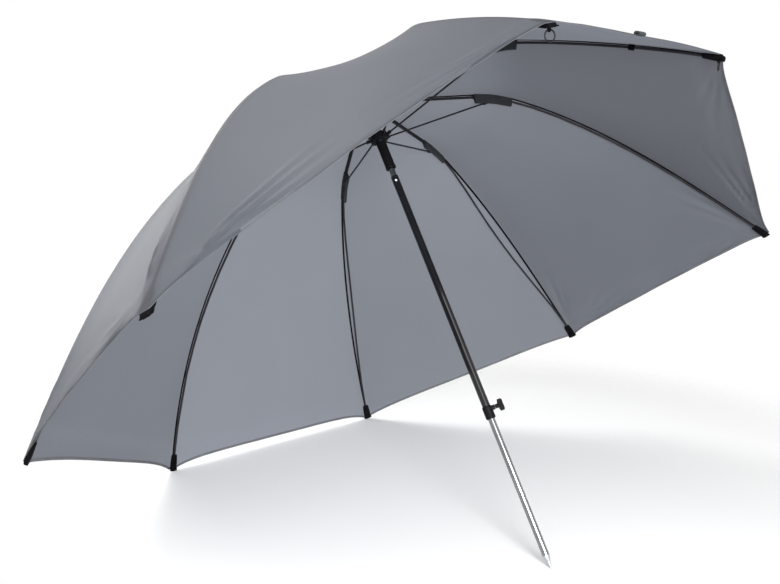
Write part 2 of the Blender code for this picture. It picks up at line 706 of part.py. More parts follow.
def neck_form():
    """Bright tube from the crown hub down into the upper pole, thicker where it plugs in."""
    top = HUB_TOP - GAP
    inner = NECK_RADIUS - NECK_WALL
    plug = UPPER_POLE_RADIUS - UPPER_POLE_WALL - GAP
    start = -UPPER_POLE_TOP - GAP
    end = -UPPER_POLE_TOP - NECK_PLUG_LENGTH
    profile = [
        (inner, top), (NECK_RADIUS, top), (NECK_RADIUS, start), (plug, start), (plug, end), (inner, end),
    ]
    turn = turned(BUTTON_AZIMUTH)
    reach = Vector((UPPER_POLE_RADIUS, 0, -BUTTON_DROP))
    root = Vector((BUTTON_INNER_END * HALF, 0, -BUTTON_DROP))
    hole = moved(cylinder(root, reach, BUTTON_RADIUS + GAP, ROUND_SIDES // 2), turn)
    return combine(lathe(profile), ("DIFFERENCE", hole))


def upper_pole_form():
    inner = UPPER_POLE_RADIUS - UPPER_POLE_WALL
    top, end = -UPPER_POLE_TOP, -UPPER_POLE_END
    profile = [(inner, top), (UPPER_POLE_RADIUS, top), (UPPER_POLE_RADIUS, end), (inner, end)]
    turn = turned(BUTTON_AZIMUTH)
    root = Vector((UPPER_POLE_RADIUS * HALF, 0, -BUTTON_DROP))
    reach = Vector((UPPER_POLE_RADIUS + OVERRUN, 0, -BUTTON_DROP))
    hole = moved(cylinder(root, reach, BUTTON_RADIUS + GAP, ROUND_SIDES // 2), turn)
    stem_root = Vector((UPPER_POLE_RADIUS * HALF, 0, clamp_height()))
    stem_reach = Vector((UPPER_POLE_RADIUS + OVERRUN, 0, clamp_height()))
    stem_turn = turned(CLAMP_AZIMUTH)
    stem_hole = moved(cylinder(stem_root, stem_reach, STEM_RADIUS + GAP, ROUND_SIDES // 2), stem_turn)
    return combine(lathe(profile), ("DIFFERENCE", hole), ("DIFFERENCE", stem_hole))


def lower_pole_form():
    inner = LOWER_POLE_RADIUS - LOWER_POLE_WALL
    bottom = -LOWER_POLE_BOTTOM
    top = bottom + LOWER_POLE_LENGTH
    return lathe([(inner, top), (LOWER_POLE_RADIUS, top), (LOWER_POLE_RADIUS, bottom), (inner, bottom)])


def spike_form():
    """Turned point with a shoulder against the tube's end and a plug inside it."""
    plug = LOWER_POLE_RADIUS - LOWER_POLE_WALL - GAP
    shoulder = -LOWER_POLE_BOTTOM - GAP
    cone = -POLE_LENGTH + SPIKE_CONE_LENGTH
    waist = LOWER_POLE_RADIUS * HALF
    profile = [
        (0, shoulder + SPIKE_PLUG_LENGTH), (plug, shoulder + SPIKE_PLUG_LENGTH), (plug, shoulder),
        (LOWER_POLE_RADIUS, shoulder), (LOWER_POLE_RADIUS, cone),
        (waist, cone - SPIKE_CONE_LENGTH * HALF), (SPIKE_TIP_RADIUS, -POLE_LENGTH), (0, -POLE_LENGTH),
    ]
    return lathe(profile)


def runner_form():
    """Sleeve with a slot and a pin hole for every stretcher, and a groove that clears the button."""
    top = -RUNNER_PIN_DROP + RUNNER_FLANGE_ABOVE_PIN
    step = -RUNNER_PIN_DROP - RUNNER_FLANGE_BELOW_PIN
    end = -RUNNER_SLEEVE_END
    lip = RUNNER_LIP
    rim = RUNNER_FLANGE_RADIUS
    sleeve = RUNNER_SLEEVE_RADIUS
    chamfer = OVERRUN
    profile = [
        (RUNNER_BORE, top), (rim - chamfer, top), (rim, top - chamfer), (rim, step + chamfer),
        (rim - chamfer, step), (sleeve + chamfer, step - chamfer), (sleeve, step - lip),
        (sleeve, end + lip * 2), (sleeve + chamfer * HALF, end + lip), (sleeve + chamfer * HALF, end),
        (RUNNER_BORE, end),
    ]
    steps = []
    floor = RUNNER_PIVOT.z - TONGUE_RADIUS - GAP * 2
    root = RUNNER_PIVOT.x - TONGUE_RADIUS - GAP * 2
    plane = RUNNER_PIVOT.y
    for _, azimuth, _ in rib_places():
        low = (root, plane - SLOT_HALF_WIDTH, floor)
        high = (rim + OVERRUN, plane + SLOT_HALF_WIDTH, top + OVERRUN)
        steps.append(("DIFFERENCE", moved(box(low, high), turned(azimuth))))
    for start, end_point in pin_ends(RUNNER_PIVOT, RUNNER_PIN_REACH + GAP):
        steps.append(("DIFFERENCE", cylinder(start, end_point, PIN_RADIUS + GAP)))
    groove = BUTTON_RADIUS + GAP
    groove_low = (0, -groove, end - OVERRUN)
    groove_high = (BUTTON_REACH + GAP, groove, top + OVERRUN)
    steps.append(("DIFFERENCE", moved(box(groove_low, groove_high), turned(BUTTON_AZIMUTH))))
    return moved(combine(lathe(profile), *steps), Matrix.Translation((0, 0, RUNNER_PIN_DROP)))


def clamp_height():
    return -COLLAR_TOP - COLLAR_LENGTH * HALF * HALF


def collar_form():
    """Collar over the end of the upper pole, with a bush for the lower pole and a screw boss."""
    top, bottom = -COLLAR_TOP, -COLLAR_TOP - COLLAR_LENGTH
    seat = -UPPER_POLE_END - GAP
    wide, narrow = UPPER_POLE_RADIUS + GAP, LOWER_POLE_RADIUS + GAP
    rim = COLLAR_RADIUS
    chamfer = COLLAR_SHOULDER
    profile = [
        (wide, top), (rim - chamfer * HALF, top), (rim, top - chamfer), (rim, bottom + chamfer),
        (rim - chamfer, bottom), (narrow, bottom), (narrow, seat), (wide, seat),
    ]
    turn = turned(CLAMP_AZIMUTH)
    height = clamp_height()
    start = Vector((UPPER_POLE_RADIUS + (rim - UPPER_POLE_RADIUS) * HALF, 0, height))
    boss = moved(cylinder(start, Vector((BOSS_REACH, 0, height)), BOSS_RADIUS, ROUND_SIDES // 2), turn)
    inside = Vector((STEM_INNER_END * HALF, 0, height))
    outside = Vector((BOSS_REACH + OVERRUN, 0, height))
    hole = moved(cylinder(inside, outside, STEM_RADIUS + GAP, ROUND_SIDES // 2), turn)
    return combine(lathe(profile), ("UNION", boss), ("DIFFERENCE", hole))


def knob_form():
    """Wing screw: stem, hub and a flat wing whose length lies along the pole; modelled along +X."""
    corner = KNOB_HUB_RADIUS * HALF
    upper = [
        (KNOB_REACH, KNOB_HALF_LENGTH - corner), (KNOB_REACH - corner, KNOB_HALF_LENGTH),
        (KNOB_WING_START + corner, KNOB_HALF_LENGTH), (KNOB_WING_START, KNOB_HUB_RADIUS),
    ]
    wing = [(x, -z) for x, z in reversed(upper)] + upper
    hub_end = Vector((KNOB_WING_START + KNOB_HUB_RADIUS, 0, 0))
    hub = cylinder(Vector((KNOB_HUB_START, 0, 0)), hub_end, KNOB_HUB_RADIUS, ROUND_SIDES // 2)
    stem_start, stem_end = Vector((STEM_INNER_END, 0, 0)), Vector((KNOB_HUB_START + OVERRUN, 0, 0))
    stem = cylinder(stem_start, stem_end, STEM_RADIUS, ROUND_SIDES // 2)
    return combine(hub, ("UNION", stem), ("UNION", prism(wing, -KNOB_HALF_THICKNESS, KNOB_HALF_THICKNESS)))


def button_form():
    """Round button with a domed face, modelled along +X."""
    dome = BUTTON_REACH - BUTTON_RADIUS * HALF * HALF
    start, flat, end = (Vector((x, 0, 0)) for x in (BUTTON_INNER_END, dome, BUTTON_REACH))
    direction = Vector((1, 0, 0))
    sections = [ring_points(start, direction, BUTTON_RADIUS, ROUND_SIDES // 2)]
    sections.append(ring_points(flat, direction, BUTTON_RADIUS, ROUND_SIDES // 2))
    sections.append(ring_points(end, direction, BUTTON_RADIUS * HALF, ROUND_SIDES // 2))
    return loft(sections)


def button_spring_form():
    """Leaf spring inside the neck, bent to a shallow V that presses on the button."""
    tip = BUTTON_INNER_END - GAP
    wall = -(NECK_RADIUS - NECK_WALL - GAP * 2)
    bend = wall + SPRING_THICKNESS
    rise, run = SPRING_HALF_LENGTH, BUTTON_RADIUS + GAP
    outline = [
        (bend, rise), (tip - SPRING_THICKNESS, run), (tip - SPRING_THICKNESS, -run), (bend, -rise),
        (wall, -rise), (tip - SPRING_THICKNESS * 2, -run), (tip - SPRING_THICKNESS * 2, run), (wall, rise),
    ]
    return prism([(x, z - BUTTON_DROP) for x, z in outline], -SPRING_HALF_WIDTH, SPRING_HALF_WIDTH)


def lean_angle():
    """Lean at which the rear pockets' lowest corners are level with the point of the spike."""
    low, high = 0.0, math.radians(60)
    rear = PAIRS[0]
    points, direction = rod_line(rear)
    nose = points[-2] + direction * POCKET_LENGTH
    corners = [turned(BACK - rear.angle) @ p for p in
               pocket_section(nose, direction, POCKET_NOSE_HALF_WIDTH, POCKET_NOSE_HALF_THICKNESS)]
    turn = [2 * math.pi * i / ROUND_SIDES for i in range(ROUND_SIDES)]
    rim = [Vector((math.cos(a), math.sin(a), 0)) * SPIKE_TIP_RADIUS for a in turn]
    point = [spot - Vector((0, 0, POLE_LENGTH)) for spot in rim]
    for _ in range(BISECTION_STEPS):
        middle = (low + high) * HALF
        tilt = Matrix.Rotation(-middle, 4, "X")
        pocket_low = min((tilt @ p).z for p in corners)
        spike_low = min((tilt @ p).z for p in point)
        low, high = (middle, high) if pocket_low > spike_low else (low, middle)
    return low, spike_low


def umbrella_frame():
    """Empty that leans the upright model and stands the spike's point on the ground at the origin."""
    lean, lowest = lean_angle()
    frame = bpy.data.objects.new("umbrella_frame", None)
    bpy.context.scene.collection.objects.link(frame)
    frame.rotation_euler = (-lean, 0, 0)
    frame.location = (0, POLE_LENGTH * math.sin(lean), -lowest)
    return frame, lean


def build_ribs(frame, lean, black, cloth, steel, rod_finish):
    rib_mesh = rib_form()
    stretcher_mesh = stretcher_form()
    hang_world = Vector((0, 0, -1))
    for name, azimuth, pair in rib_places():
        rib = place(link(f"rib_{name}", rib_mesh, black), frame, turned(azimuth) @ RIB_PIVOT, azimuth)
        stretcher = link(f"stretcher_{name}", stretcher_mesh, black)
        pin = turned(azimuth) @ (RUNNER_PIVOT + Vector((0, 0, RUNNER_PIN_DROP)))
        place(stretcher, bpy.data.objects["runner"], pin, azimuth)
        hand = 1 if azimuth < BACK else -1
        knee = place(link(f"knee_{name}", knee_form(pair, hand), cloth), rib, KNEE_PIVOT - RIB_PIVOT)
        place(link(f"rod_{name}", rod_form(pair, hand), rod_finish), knee)
        place(link(f"pocket_{name}", pocket_form(pair, pair.name == "front"), black), knee)
        if pair.name == "front":
            to_local = (Matrix.Rotation(-lean, 4, "X") @ turned(azimuth)).inverted()
            hang = to_local.to_3x3() @ hang_world
            hang.y = 0
            eye = ring_lug(pair)[1]
            place(link(f"ring_{name}", ring_form(hang.normalized()), steel), knee, eye - KNEE_PIVOT)


def build():
    clear_scene()
    black = finish("black_plastic", (0.02, 0.02, 0.022), 0.4)
    gloss = finish("black_gloss", (0.015, 0.015, 0.017), 0.15)
    silver = finish("aluminium", (0.75, 0.76, 0.78), 0.2, 1.0)
    cloth = finish("guard_cloth", (0.05, 0.055, 0.06), 0.8)
    fabric = finish("canopy_fabric", (0.22, 0.235, 0.26), 0.75)
    glass_rod = finish("rib_rod", (0.05, 0.05, 0.058), 0.35)
    wire = finish("black_wire", (0.03, 0.03, 0.03), 0.3, 0.6)
    white = finish("button_white", (0.8, 0.8, 0.8), 0.4)

    frame, lean = umbrella_frame()
    place(link("canopy", canopy_form(), fabric), frame)
    place(link("crown_cap", crown_cap_form(), black), frame)
    place(link("crown_hub", crown_hub_form(), black), frame)
    place(link("neck_tube", neck_form(), silver), frame)
    place(link("upper_pole", upper_pole_form(), gloss), frame)
    place(link("lower_pole", lower_pole_form(), silver), frame)
    place(link("ground_spike", spike_form(), silver), bpy.data.objects["lower_pole"])
    place(link("runner", runner_form(), black), frame, (0, 0, -RUNNER_PIN_DROP))
    place(link("clamp_collar", collar_form(), black), frame)
    place(link("clamp_knob", knob_form(), black), frame, (0, 0, clamp_height()), CLAMP_AZIMUTH)
    place(link("snap_button", button_form(), white), frame, (0, 0, -BUTTON_DROP), BUTTON_AZIMUTH)
    place(link("button_spring", button_spring_form(), silver), frame, azimuth=BUTTON_AZIMUTH)
    build_ribs(frame, lean, black, cloth, wire, glass_rod)
    bpy.context.view_layer.update()


build()
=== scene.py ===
"""Looks of the fishing umbrella: canopy cloth, tapes, hems and the finish of every fitting."""
import json
import math

import bpy
import numpy as np
from mathutils import Matrix, Vector


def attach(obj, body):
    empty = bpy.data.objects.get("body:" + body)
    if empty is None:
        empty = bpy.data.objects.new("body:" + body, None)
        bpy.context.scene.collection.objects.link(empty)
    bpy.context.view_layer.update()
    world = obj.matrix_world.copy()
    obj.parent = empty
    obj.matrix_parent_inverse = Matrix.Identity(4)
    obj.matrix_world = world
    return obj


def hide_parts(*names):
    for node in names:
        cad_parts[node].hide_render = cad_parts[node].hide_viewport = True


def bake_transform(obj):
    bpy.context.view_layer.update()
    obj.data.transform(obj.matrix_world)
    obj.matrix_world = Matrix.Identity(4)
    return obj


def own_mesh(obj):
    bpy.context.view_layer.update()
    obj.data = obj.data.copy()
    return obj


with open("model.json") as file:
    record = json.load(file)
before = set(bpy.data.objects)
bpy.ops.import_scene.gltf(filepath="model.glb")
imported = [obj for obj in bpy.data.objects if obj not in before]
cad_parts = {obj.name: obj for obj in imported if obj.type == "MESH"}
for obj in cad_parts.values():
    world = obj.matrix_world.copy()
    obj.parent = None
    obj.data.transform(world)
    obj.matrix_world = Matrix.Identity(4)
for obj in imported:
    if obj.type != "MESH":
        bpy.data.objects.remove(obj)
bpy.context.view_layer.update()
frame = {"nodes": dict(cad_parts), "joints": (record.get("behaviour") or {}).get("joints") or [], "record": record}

# The seam over each rib, measured from the crown, as in the solids
KNEE_DISTANCE = 0.474
KNEE_SPREAD = 0.240
KNEE_PIVOT_DISTANCE = 0.414
CANOPY_HOLE_RADIUS = 0.0065
CROWN_SLOPE = math.radians(10.3)
KNEE_SLOPE = math.radians(6.3)
POLE_LENGTH = 1.588
SPIKE_TIP_RADIUS = 0.0015
BACK = math.radians(90)
SHARP_ANGLE = math.radians(40)
TINY = 1e-12

# Angle from the back, length, turn at the knee, turn over the rod, how early that turn comes
PAIRS = {
    "rear": (math.radians(22.6), 1.593, math.radians(21.2), math.radians(36.9), 1.0),
    "side": (math.radians(69.0), 1.595, math.radians(18.2), math.radians(32.0), 1.75),
    "fore": (math.radians(111.9), 1.620, math.radians(18.7), math.radians(26.3), 2.0),
    "front": (math.radians(157.6), 1.151, math.radians(26.8), math.radians(10.7), 0.65),
}

# Sag at mid-height, drop and cut of the hem, how evenly that cut runs between the ribs, ripple of the hem
PANELS = {
    ("rear", "rear"): (0.020, -0.005, 0.021, 7, 0.0004),
    ("rear", "side"): (0.020, 0.025, 0.019, 4, 0.0004),
    ("fore", "side"): (0.020, -0.0095, 0.009, 14, 0.0008),
    ("fore", "front"): (0.028, -0.012, 0.020, 13, 0.0006),
    ("front", "front"): (0.020, -0.0075, 0.0, 4, 0.0),
}
SAG_PEAK_POWER = 0.8
HEM_DROP_POWER = 3

# Flat band over each rib: narrow along the seam, wider over the pocket at its tip
BAND = 0.0070
POCKET_BAND = 0.0152
POCKET_BAND_START = 0.105
POCKET_BAND_BLEND = 0.040

# Folds that the rib tips pull: place as a share of the corner, from the hem and from the seam, height, width
HEM_FOLDS = ((0.07, 0.0085, 0.030), (0.18, 0.0085, 0.034), (0.30, 0.0050, 0.036))
SEAM_FOLDS = ((0.10, 0.0085, 0.034), (0.21, 0.0050, 0.040))
FOLD_REACH = 0.22
FOLD_START = 0.04
# How deep the folds at a rib's tip are, by the hem and by the seam, in the panel towards the second pair
FOLD_SHARES = {
    ("fore", "front"): (1.0, 0.0), ("front", "fore"): (0.35, 0.0), ("fore", "side"): (0.45, 1.0),
    ("side", "fore"): (0.35, 0.35), ("side", "rear"): (0.1, 0.1), ("rear", "side"): (0.1, 0.1),
    ("rear", "rear"): (0.1, 0.1), ("front", "front"): (0.1, 0.0),
}

# Slow unevenness of each panel: height, waves across and down it, shift from panel to panel
BILLOW = 0.0020
BILLOW_FIRST = (7.0, 5.0)
BILLOW_SECOND = (9.0, 3.0)
BILLOW_SHIFT = 1.7

# Ripple of a slack hem
RIPPLE_WAVES = 4.5
RIPPLE_REACH = 0.10

# Tape under each seam
TAPE_WIDTH = 0.0075
TAPE_THICKNESS = 0.0008
TAPE_INSET = 0.0022
TAPE_START = 0.040
TAPE_STEPS = 60

# Hem: how far in from the cloth's edge, and how far under it, as shares of its width and thickness
HEM_WIDTH = 0.009
HEM_THICKNESS = 0.0010
HEM_INSET_SHARE = 0.47
HEM_UNDER_SHARE = 0.7

# Closing strap rolled up at the front hem
ROLL_OFFSET = -0.056
ROLL_WIDTH = 0.028
ROLL_HALF_DEPTH = 0.0085
ROLL_HALF_HEIGHT = 0.0055
ROLL_THICKNESS = 0.0012
ROLL_TURNS = 2.6
ROLL_STEPS = 64
ROLL_CORE_SHARE = 0.35
ROLL_DROP_SHARE = 0.2
ROLL_STAND_SHARE = 0.5

# Strap across each tip pocket, and the sleeve round the rod on the front ribs
TIP_STRAP_HALF_WIDTH = 0.0165
TIP_STRAP_LENGTH = 0.010
TIP_STRAP_THICKNESS = 0.0022
TIP_STRAP_INSET = TIP_STRAP_THICKNESS * 4
TIE_DISTANCE = 0.900
TIE_LENGTH = 0.016
TIE_RADIUS = 0.0068
TIE_INSET = TIE_RADIUS * 1.2

# Grid of the canopy
LINE_STEPS = 800
KNEE_ROW_SHARE = 0.30
ROWS = 126
COLUMNS = 56

# Rows of cloth at the crown, which make a piece of their own
CROWN_ROW = 4

# Sewn line beside each seam
STITCH_PLACE = 0.0060
STITCH_THICKNESS = 0.0004
STITCH_LENGTH = 0.0042
STITCH_SHARE = 0.68

# Canopy cloth
CLOTH_DARK = (0.083, 0.090, 0.104)
CLOTH_LIGHT = (0.096, 0.103, 0.118)
CLOTH_THREAD = (0.05, 0.053, 0.06, 1)
CLOTH_THROUGH = (0.308, 0.328, 0.374, 1)
CLOTH_THROUGH_SHARE = 0.5
CLOTH_ROUGHNESS = 0.55
CLOTH_GLEAM = 0.18
BLOTCH_SCALE = 2.2
BLOTCH_DETAIL = 3.0
WEAVE_SCALE = 1400.0
WEAVE_STRENGTH = 0.12
WEAVE_DEPTH = 0.0003

# Fine-grained surfaces: scale of their tint and gloss, spread of the gloss, detail and strength of the grain
TINT_SCALE = 14.0
GLOSS_SCALE = 60.0
GLOSS_SPREAD = 0.2
GRAIN_DETAIL = 2.0
GRAIN_STRENGTH = 0.3
TUBE_GRAIN = {"grain": 500.0, "depth": 0.00002}

# Finish of each slot in the record: name, two colours, roughness, then what differs from the usual
FINISHES = {
    "black_plastic": ("black_nylon", (0.003, 0.003, 0.0035), (0.007, 0.007, 0.008), 0.42, {"gleam": 0.05}),
    "black_pole": ("gloss_black_tube", (0.004, 0.004, 0.005), (0.007, 0.007, 0.008), 0.08,
                   {"gleam": 0.36, **TUBE_GRAIN}),
    "bright_tube": ("bright_tube_metal", (0.21, 0.215, 0.22), (0.27, 0.275, 0.28), 0.10,
                    {"metallic": 1.0, **TUBE_GRAIN}),
    "spring_steel": ("spring_strip", (0.4, 0.4, 0.42), (0.5, 0.5, 0.52), 0.35, {"metallic": 1.0}),
    "spike_metal": ("spike_turned", (0.42, 0.43, 0.44), (0.55, 0.56, 0.57), 0.34, {"metallic": 1.0}),
    "white_plastic": ("button_face", (0.60, 0.60, 0.60), (0.68, 0.68, 0.68), 0.3, {}),
    "painted_rib": ("rib_paint", (0.005, 0.005, 0.006), (0.010, 0.010, 0.012), 0.38, {"gleam": 0.16}),
    "rod_glassfibre": ("rod_fibre", (0.010, 0.010, 0.012), (0.020, 0.020, 0.024), 0.4, {"gleam": 0.14}),
    "pocket_trim": ("pocket_webbing", (0.002, 0.002, 0.0025), (0.005, 0.005, 0.006), 0.75, {"gleam": 0.03}),
    "ring_wire": ("ring_paint", (0.004, 0.004, 0.005), (0.009, 0.009, 0.010), 0.4, {"gleam": 0.12}),
}
GUARD_FINISH = ("knee_guard_cloth", (0.015, 0.017, 0.019), (0.024, 0.027, 0.029), 0.75, {"gleam": 0.12})
HEM_FINISH = ("hem_cloth", (0.062, 0.066, 0.074), (0.085, 0.090, 0.098), 0.6, {})
STRAP_FINISH = ("strap_cloth", (0.022, 0.024, 0.027), (0.034, 0.037, 0.041), 0.7, {"gleam": 0.1})

# Floor that fades to white, and the studio lights: azimuth and height in degrees, size, watts
FLOOR_COLOUR = (0.92, 0.92, 0.92, 1)
FLOOR_SIDES = 96
FLOOR_CENTRE = (0.55, 0.65, 0)
FLOOR_CLEAR_RADIUS = 1.15
FLOOR_FADE_RADIUS = 1.80
LIGHT_TARGET = Vector((0, 0.6, 0.6))
LIGHT_DISTANCE = 5.0
LIGHTS = {
    "front_low": (240, 10, 2.5, 490),
    "front_high": (244, 38, 2.5, 68),
    "left_high": (205, 38, 2.5, 52),
    "behind": (90, 38, 2.5, 102),
    "behind_low": (90, 10, 2.5, 77),
    "behind_left": (120, 10, 2.5, 25),
    "behind_right": (60, 38, 2.5, 20),
}
ROOM_LIGHT = 0.264

# Camera, from the photograph's framing of 780 by 584 pixels
IMAGE_WIDTH = 780
FOCAL_PIXELS = 812.16
SENSOR_WIDTH = 36.0
CAMERA_PLACE = Vector((-1.80871, -1.26736, 1.16175))
CAMERA_FORWARD = Vector((0.66724, 0.72579, -0.16741))
CAMERA_UP = Vector((0.10143, 0.13413, 0.98576))


def lean_matrix():
    """Umbrella frame to world: the runner slides down the pole, which gives the lean."""
    slide = next(j for j in frame["joints"] if j["name"] == "runner_slide")
    down = Vector(slide["axis"]).normalized()
    lean = math.atan2(-down.y, -down.z)
    height = POLE_LENGTH * math.cos(lean) + SPIKE_TIP_RADIUS * math.sin(lean)
    crown = Vector((0, POLE_LENGTH * math.sin(lean), height))
    return Matrix.Translation(crown) @ Matrix.Rotation(-lean, 4, "X")


LEAN = lean_matrix()


def smoothstep(value):
    """From 0 to 1, level at both ends."""
    value = np.clip(value, 0, 1)
    return value * value * (3 - 2 * value)


def unit(vectors):
    """Vectors at length one."""
    return vectors / np.maximum(np.linalg.norm(vectors, axis=-1, keepdims=True), TINY)


def seam_table(pair):
    """Distance, radius, height and slope along one seam, from the crown to its tip."""
    _, length, knee_turn, rod_turn, bend_power = PAIRS[pair]
    distance = np.linspace(0, length, LINE_STEPS)
    upper = np.minimum(distance, KNEE_DISTANCE) / KNEE_DISTANCE
    lower = np.clip((distance - KNEE_DISTANCE) / (length - KNEE_DISTANCE), 0, 1)
    knee = smoothstep((distance - KNEE_DISTANCE) / KNEE_SPREAD + 0.5)
    rod = 1 - (1 - lower) ** bend_power
    slope = CROWN_SLOPE + (KNEE_SLOPE - CROWN_SLOPE) * upper + knee_turn * knee + rod_turn * rod
    step = distance[1] - distance[0]
    middle = (slope[1:] + slope[:-1]) / 2
    radius = np.concatenate([[0], np.cumsum(np.cos(middle) * step)])
    height = np.concatenate([[0], np.cumsum(-np.sin(middle) * step)])
    return distance, radius, height, slope


SEAMS = {pair: seam_table(pair) for pair in PAIRS}


def rib_places():
    """Name, azimuth and pair of each rib, in order round the crown."""
    right = [(f"{pair}_right", BACK - values[0], pair) for pair, values in PAIRS.items()]
    left = [(f"{pair}_left", BACK + values[0], pair) for pair, values in reversed(PAIRS.items())]
    return right + left


RIBS = rib_places()


def panel_distance(pair, share):
    """Distance along a seam: alike on every rib as far as the knee, then stretched to its tip."""
    share = np.asarray(share, float)
    near = CANOPY_HOLE_RADIUS + (KNEE_DISTANCE - CANOPY_HOLE_RADIUS) * share / KNEE_ROW_SHARE
    far = KNEE_DISTANCE + (PAIRS[pair][1] - KNEE_DISTANCE) * (share - KNEE_ROW_SHARE) / (1 - KNEE_ROW_SHARE)
    return np.where(share <= KNEE_ROW_SHARE, near, far)


def seam_points(azimuth, pair, distance, inset=0.0, side=0.0):
    """Points of the umbrella's frame inset below the seam and a step to its side."""
    distances, radius, height, slope = SEAMS[pair]
    lean = np.interp(distance, distances, slope)
    x = np.interp(distance, distances, radius) - inset * np.sin(lean)
    z = np.interp(distance, distances, height) - inset * np.cos(lean)
    y = np.zeros_like(x) + side
    turn_x, turn_y = math.cos(azimuth), math.sin(azimuth)
    return np.stack([x * turn_x - y * turn_y, x * turn_y + y * turn_x, z], -1)


def band_width(pair, distance):
    """Half width of the flat band over the rib."""
    near_tip = smoothstep((distance - PAIRS[pair][1] + POCKET_BAND_START) / POCKET_BAND_BLEND)
    near_crown = smoothstep(distance / KNEE_PIVOT_DISTANCE)
    return (BAND + (POCKET_BAND - BAND) * near_tip) * near_crown


def to_world(points):
    """Points of the umbrella's frame, in the world's."""
    matrix = np.array(LEAN)
    return points @ matrix[:3, :3].T + matrix[:3, 3]


def turn_to_world(vectors):
    """Directions of the umbrella's frame, in the world's."""
    return vectors @ np.array(LEAN)[:3, :3].T


def row_shares():
    """Rows from crown to hem, with one row exactly at the knees' pivots."""
    pivot, knee = KNEE_PIVOT_DISTANCE - CANOPY_HOLE_RADIUS, KNEE_DISTANCE - CANOPY_HOLE_RADIUS
    split = KNEE_ROW_SHARE * pivot / knee
    upper_rows = ROWS // 3
    upper = np.linspace(0, split, upper_rows + 1)
    lower = np.linspace(split, 1, ROWS - upper_rows + 1)
    return np.concatenate([upper, lower[1:]]), upper_rows


ROW_SHARES, KNEE_ROW = row_shares()


def grid_normals(points):
    """Outward unit normals of a grid whose rows run down and whose columns run clockwise."""
    down = np.gradient(points, axis=0)
    around = np.gradient(points, axis=1)
    normal = unit(np.cross(around, down))
    return normal * np.sign(normal[len(normal) // 3, normal.shape[1] // 2, 2])


def fold_height(width, rise, shares):
    """Narrow folds by the hem and by the seam, all fanning out of one lower corner."""
    reach = np.hypot(width, rise)
    corner = np.arctan2(rise, width) / (math.pi / 2)
    fade = smoothstep((reach - FOLD_START) / FOLD_START) * smoothstep(reach / FOLD_REACH)
    fade *= np.exp(1 - (reach / FOLD_REACH) ** 2)
    height = np.zeros_like(reach)
    for folds, share, away in ((HEM_FOLDS, shares[0], corner), (SEAM_FOLDS, shares[1], 1 - corner)):
        for place, crest, spread in folds:
            height += share * crest * np.exp(-((away - place) / spread) ** 2)
    return height * fade


def billow_height(index, across, shares):
    """Slow unevenness of a cloth panel, none along its seams."""
    phase = BILLOW_SHIFT * index
    first = np.sin(BILLOW_FIRST[0] * across + BILLOW_FIRST[1] * shares + phase)
    second = np.sin(BILLOW_SECOND[0] * shares - BILLOW_SECOND[1] * across + 2 * phase)
    return BILLOW * (first * second) * (4 * across * (1 - across)) ** 2 * smoothstep(shares / KNEE_ROW_SHARE)


def relief(index, pair, next_pair, span, rise, ripple):
    """Folds, slow unevenness and the hem's ripple, as heights above the sagging cloth of one panel."""
    across, rows = ACROSS[None, :], ROW_SHARES[:, None]
    height = fold_height(across * span, rise, FOLD_SHARES[pair, next_pair])
    height += fold_height((1 - across) * span, rise, FOLD_SHARES[next_pair, pair])
    height += billow_height(index, across, rows)
    arch = 4 * across * (1 - across)
    waves = np.sin(2 * math.pi * RIPPLE_WAVES * across)
    return height + ripple * waves * smoothstep(1 - rise / RIPPLE_REACH) * arch


def column_shares():
    """Places across a panel, closer together at its seams, with one seam-band column at each side."""
    even = np.linspace(0, 1, COLUMNS - 1)
    return (even + smoothstep(even)) / 2


ACROSS = column_shares()


def panel_grid(index):
    """World points, outward normals and cloth coordinates of the panel after rib number index."""
    _, azimuth, pair = RIBS[index]
    _, next_azimuth, next_pair = RIBS[(index + 1) % len(RIBS)]
    sag, hem_drop, hem_cut, cut_power, ripple = PANELS[tuple(sorted((pair, next_pair)))]
    across = ACROSS[None, :]
    rows = ROW_SHARES[:, None]
    arch = 4 * across * (1 - across)
    length = (PAIRS[pair][1] + PAIRS[next_pair][1]) / 2
    even = 1 - np.abs(2 * across - 1) ** cut_power
    shares = rows * (1 - hem_cut / length * even * smoothstep(2 * rows - 1))
    near, far = panel_distance(pair, shares), panel_distance(next_pair, shares)
    start = seam_points(azimuth, pair, near, 0, -band_width(pair, near))
    end = seam_points(next_azimuth, next_pair, far, 0, band_width(next_pair, far))
    points = start + (end - start) * across[..., None]
    dip = sag * np.sin(math.pi * rows ** SAG_PEAK_POWER) * smoothstep(rows / KNEE_ROW_SHARE)
    dip = (dip + hem_drop * rows ** HEM_DROP_POWER) * arch
    points = points - grid_normals(points) * dip[..., None]
    span = np.linalg.norm(end[:, -1] - start[:, 0], axis=-1)[:, None]
    lift = relief(index, pair, next_pair, span, (1 - rows) * length, ripple)
    points = points + grid_normals(points) * lift[..., None]
    first = seam_points(azimuth, pair, panel_distance(pair, ROW_SHARES))[:, None]
    last = seam_points(next_azimuth, next_pair, panel_distance(next_pair, ROW_SHARES))[:, None]
    points = np.concatenate([first, points, last], 1)
    normal = grid_normals(points)
    width = np.cumsum(np.linalg.norm(np.diff(points, axis=1, prepend=points[:, :1]), axis=-1), axis=1)
    down = np.cumsum(np.linalg.norm(np.diff(points, axis=0, prepend=points[:1]), axis=-1), axis=0)
    return to_world(points), turn_to_world(normal), width, down


PANEL_GRIDS = [panel_grid(i) for i in range(len(RIBS))]
HALF_COLUMNS = (len(ACROSS) + 1) // 2


